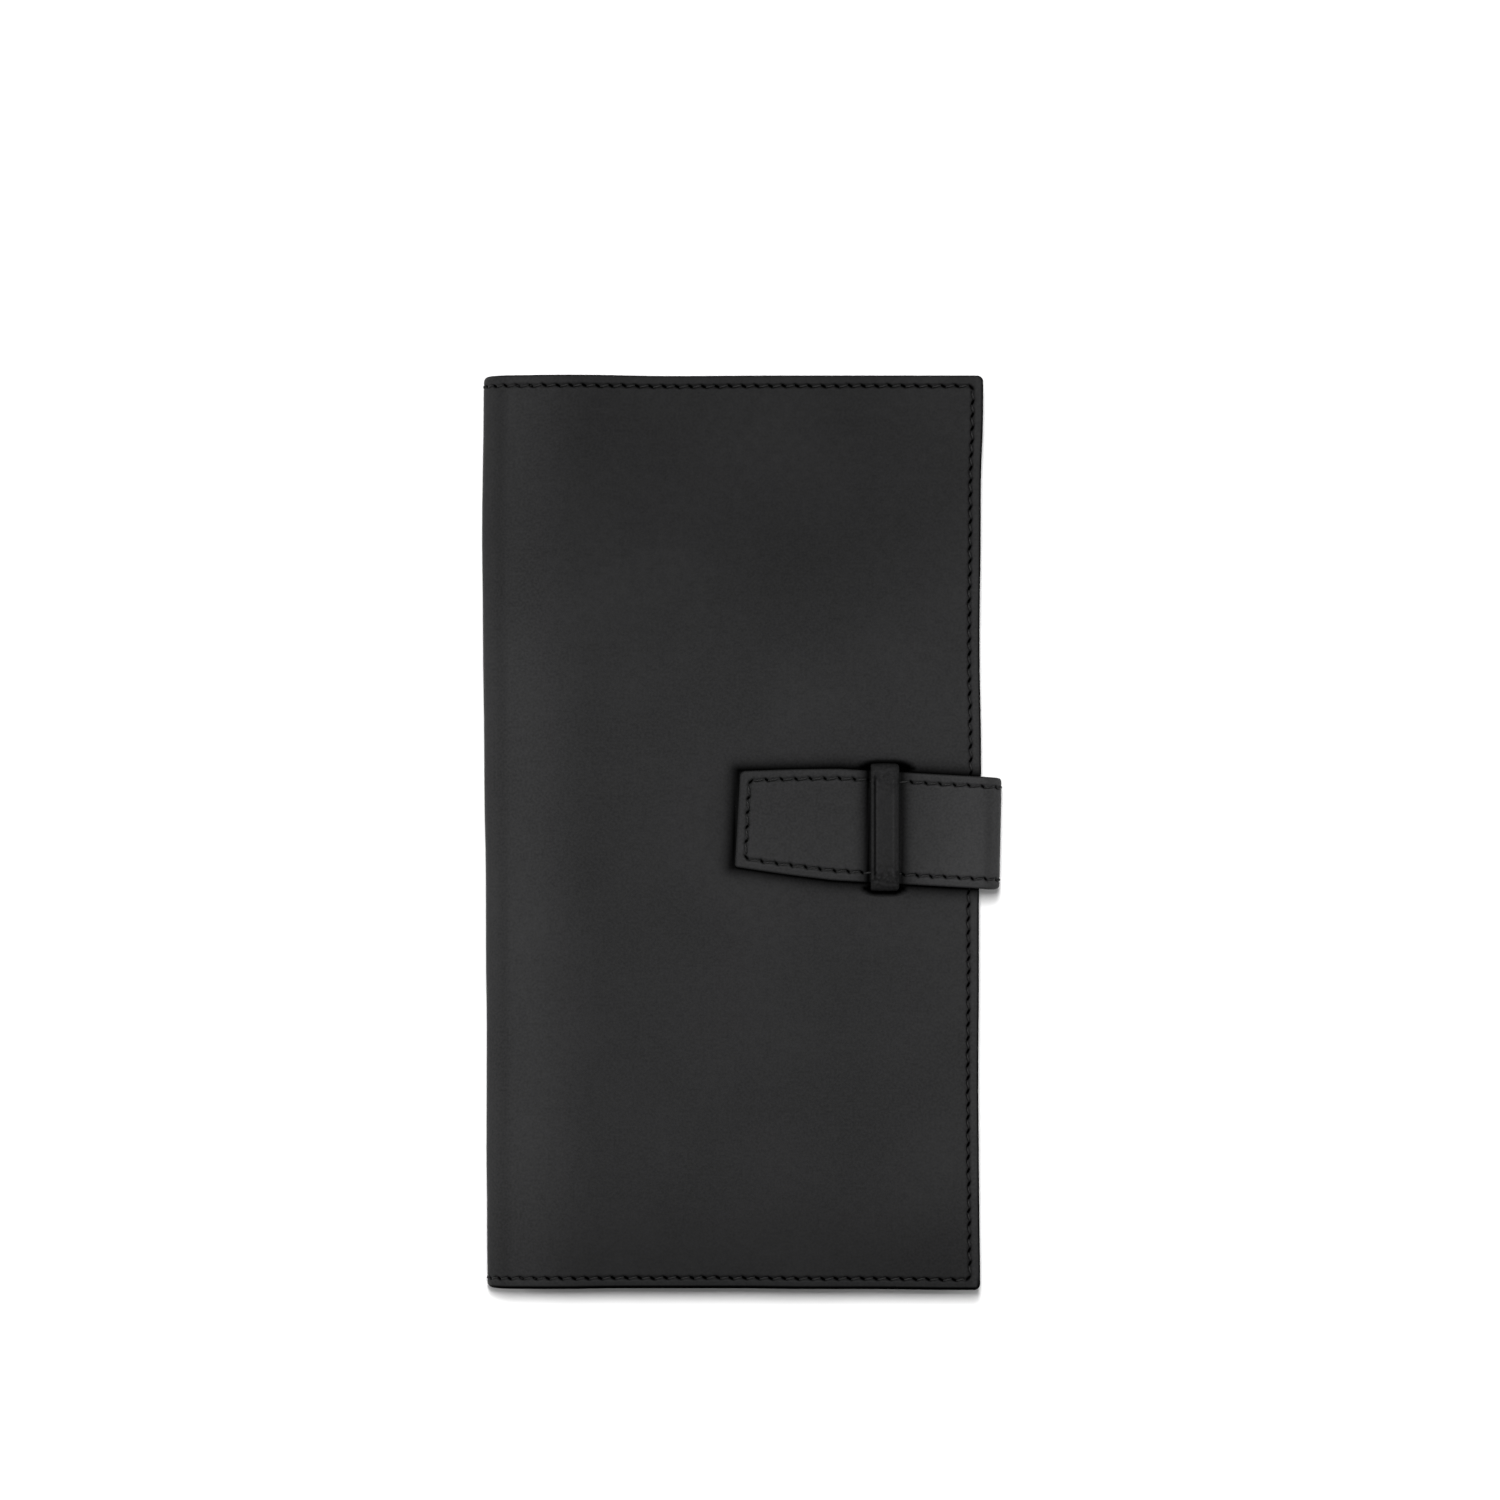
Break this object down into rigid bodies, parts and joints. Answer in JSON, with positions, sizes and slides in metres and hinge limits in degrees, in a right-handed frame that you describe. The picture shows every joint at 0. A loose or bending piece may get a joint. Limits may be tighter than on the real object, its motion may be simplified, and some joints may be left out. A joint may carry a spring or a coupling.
{
  "type": "travel document holder",
  "caption": "Slim upright leather travel document holder that opens like a book, with a soft rounded spine, stitched edges, inside pockets and a strap through a keeper loop on the front.",
  "frame": {"origin": "middle of the back cover's flat outer face, where the closed holder lies on a table", "axes": "+X from the spine to the fore edge, +Y up the page, +Z out of the front cover"},
  "size_m": [0.1302, 0.23, 0.0192],
  "materials": {
    "cover_leather": "smooth black calf, semi-matt",
    "strap_leather": "smooth black calf, semi-matt",
    "keeper_leather": "smooth black calf with creased edges",
    "pocket_leather": "thin black calf, semi-matt",
    "lining_leather": "thin black lining leather, matt",
    "stiffener": "pressed fibre board",
    "thread": "waxed black thread"
  },
  "bodies": {
    "back": {"back_cover_leather": "cover_leather", "back_seam_thread": "thread", "back_stiffener": "stiffener", "back_lining": "lining_leather", "ticket_pocket": "pocket_leather", "boarding_pass_pocket": "pocket_leather", "strap_root": "strap_leather"},
    "spine": {"spine_leather": "cover_leather", "spine_lining": "lining_leather"},
    "front": {"front_cover_leather": "cover_leather", "front_seam_thread": "thread", "front_stiffener": "stiffener", "front_lining": "lining_leather", "keeper_loop": "keeper_leather", "slip_pocket": "pocket_leather", "passport_sleeve": "pocket_leather", "card_slot_1": "pocket_leather", "card_slot_2": "pocket_leather", "card_slot_3": "pocket_leather", "card_slot_4": "pocket_leather"},
    "strap_wrap": {"strap_wrap_leather": "strap_leather", "strap_wrap_lining": "lining_leather"},
    "strap_tab": {"strap_tab_leather": "strap_leather", "strap_tab_thread": "thread", "strap_tab_lining": "lining_leather"}
  },
  "joints": [
    {"name": "spine_fold", "type": "hinge", "parent": "back", "child": "spine", "pos_m": [-0.06045, 0, 0.00205], "axis": [0, -1, 0], "range_deg": [0, 88]},
    {"name": "cover_fold", "type": "hinge", "parent": "spine", "child": "front", "pos_m": [-0.06045, 0, 0.01295], "axis": [0, -1, 0], "range_deg": [0, 88]},
    {"name": "strap_fold", "type": "hinge", "parent": "back", "child": "strap_wrap", "pos_m": [0.06638, 0, 0.00202], "axis": [0, 1, 0], "range_deg": [0, 90]},
    {"name": "strap_tab_fold", "type": "hinge", "parent": "strap_wrap", "child": "strap_tab", "pos_m": [0.06638, 0, 0.01638], "axis": [0, 1, 0], "range_deg": [0, 90], "deforming": ["strap_tab_leather", "strap_tab_lining", "strap_tab_thread"]}
  ],
  "couplings": [
    {"joint": "cover_fold", "follows": "spine_fold", "ratio": 1},
    {"joint": "strap_tab_fold", "follows": "strap_fold", "ratio": 1}
  ]
}
